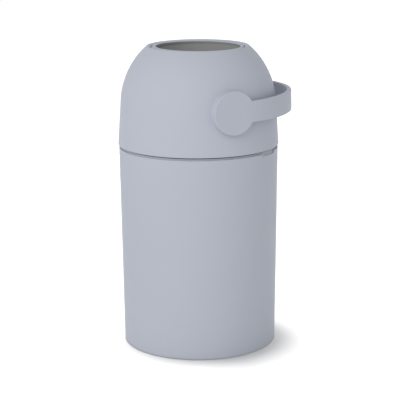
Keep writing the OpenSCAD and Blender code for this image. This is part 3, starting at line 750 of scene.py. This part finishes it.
# %% [markdown]
# ## The studio
# The floor is white and goes on for metres, so no edge of it shows. It has to read as pure white
# and still keep the bin's shadow, without more light on the bin. So it is two papers in one. Rays
# from the camera, and rays that a gloss or a glass sends on, find the bright paper. All other rays
# find a darker one whose own glow is even, and that is the one that lights the bin from below.
#
# The world works in the same way: white to look at, and for its light a soft fade from a brighter
# low part to a dimmer top, like a room with white walls.

# %% White for those rays only
WHITE = (1, 1, 1, 1)
SEES_WHITE = ("Is Camera Ray", "Is Transmission Ray", "Is Glossy Ray")


def grey(level):
    """An even grey, as a linear colour."""
    return (level, level, level, 1)


def rays(finish, kinds):
    """1 for rays of any of those kinds, and 0 for all others."""
    seen = 0.0
    for kind in kinds:
        path = finish.node("ShaderNodeLightPath", output=kind)
        seen = finish.node("ShaderNodeMath", {"operation": "MAXIMUM"}, {0: seen, 1: path})
    return seen


# %% Floor
FLOOR_SIZE = 12.0
SEEN_PAINT, SEEN_GLOW = 0.65, 0.14
PLAIN_PAINT, PLAIN_GLOW = 0.28, 0.285

bpy.ops.mesh.primitive_plane_add(size=FLOOR_SIZE)
floor = bpy.context.object
floor.name = "floor"


def paper(finish, paint, glow):
    """Matt paper that also gives off some light."""
    matt = finish.node("ShaderNodeBsdfDiffuse", {}, {"Color": grey(paint)})
    light = finish.node("ShaderNodeEmission", {}, {"Color": WHITE, "Strength": glow})
    return finish.node("ShaderNodeAddShader", {}, {0: matt, 1: light})


floor_paper = Finish("floor_paper")
both = floor_paper.node("ShaderNodeMixShader", {}, {
    0: rays(floor_paper, SEES_WHITE),
    1: paper(floor_paper, PLAIN_PAINT, PLAIN_GLOW),
    2: paper(floor_paper, SEEN_PAINT, SEEN_GLOW),
})
floor_paper.plug(floor_paper.tree.nodes["Material Output"].inputs["Surface"], both)
floor.data.materials.append(floor_paper.material)
print("floor:", FLOOR_SIZE, "m across")

# %% World
SKY_LOW = 0.765
SKY_TOP = 0.405


class Sky(Finish):
    """The world's light, written as a finish is."""

    def __init__(self, world):
        world.use_nodes = True
        self.tree = world.node_tree

    def light(self, strength):
        """White light of that strength."""
        return self.node("ShaderNodeBackground", {}, {"Color": WHITE, "Strength": strength})


world = bpy.data.worlds.new("studio")
bpy.context.scene.world = world
sky = Sky(world)
way = sky.node("ShaderNodeTexCoord", output="Generated")
upward = sky.node("ShaderNodeSeparateXYZ", {}, {0: way}, output="Z")
level = sky.node(
    "ShaderNodeMapRange", {}, {"Value": upward, "To Min": SKY_LOW, "To Max": SKY_TOP})
mixed = sky.node(
    "ShaderNodeMixShader", {},
    {0: rays(sky, SEES_WHITE), 1: sky.light(level), 2: sky.light(1.0)})
sky.plug(sky.tree.nodes["World Output"].inputs["Surface"], mixed)
print("world:", SKY_LOW, "low, fading to", SKY_TOP, "at the top")

# %% [markdown]
# ## The lamps
# One large square lamp from the front left shapes the bin, and does nothing else. The bin's shadow
# comes from a lamp of its own, almost overhead, that lights nothing but the floor: the shadow stays
# close to the foot, and is darkest on one side. Light linking keeps the two apart.

# %% Key
MIDDLE = Vector((0, 0, 0.28))
KEY_SIDE, KEY_HEIGHT = math.radians(-56), math.radians(34)
KEY_AWAY = 2.4
KEY_SIZE = 1.6
KEY_WATTS = 20


def hang_lamp(name, kind, energy, azimuth, elevation, distance):
    """A lamp that looks at the middle of the bin from that side."""
    lamp = bpy.data.lights.new(name, kind)
    lamp.energy = energy
    holder = bpy.data.objects.new(name, lamp)
    holder.location = turntable(azimuth, elevation, distance, MIDDLE)
    aim(holder, MIDDLE)
    bpy.context.scene.collection.objects.link(holder)
    return holder


key = hang_lamp("key", "AREA", KEY_WATTS, KEY_SIDE, KEY_HEIGHT, KEY_AWAY)
key.data.shape = "SQUARE"
key.data.size = KEY_SIZE
print("key:", KEY_WATTS, "W")

# %% Light for the floor
SUN_SIDE, SUN_HEIGHT = math.radians(-163), math.radians(86.2)
SUN_AWAY = 3.0
SUN_STRENGTH = 3.63
SUN_WIDTH = math.radians(11)

overhead = hang_lamp("overhead", "SUN", SUN_STRENGTH, SUN_SIDE, SUN_HEIGHT, SUN_AWAY)
overhead.data.angle = SUN_WIDTH

floor_only = bpy.data.collections.new("floor_only")
floor_only.objects.link(floor)
overhead.light_linking.receiver_collection = floor_only
all_but_floor = bpy.data.collections.new("all_but_floor")
all_but_floor.objects.link(floor)
all_but_floor.collection_objects[0].light_linking.link_state = "EXCLUDE"
key.light_linking.receiver_collection = all_but_floor
print("lamps linked")
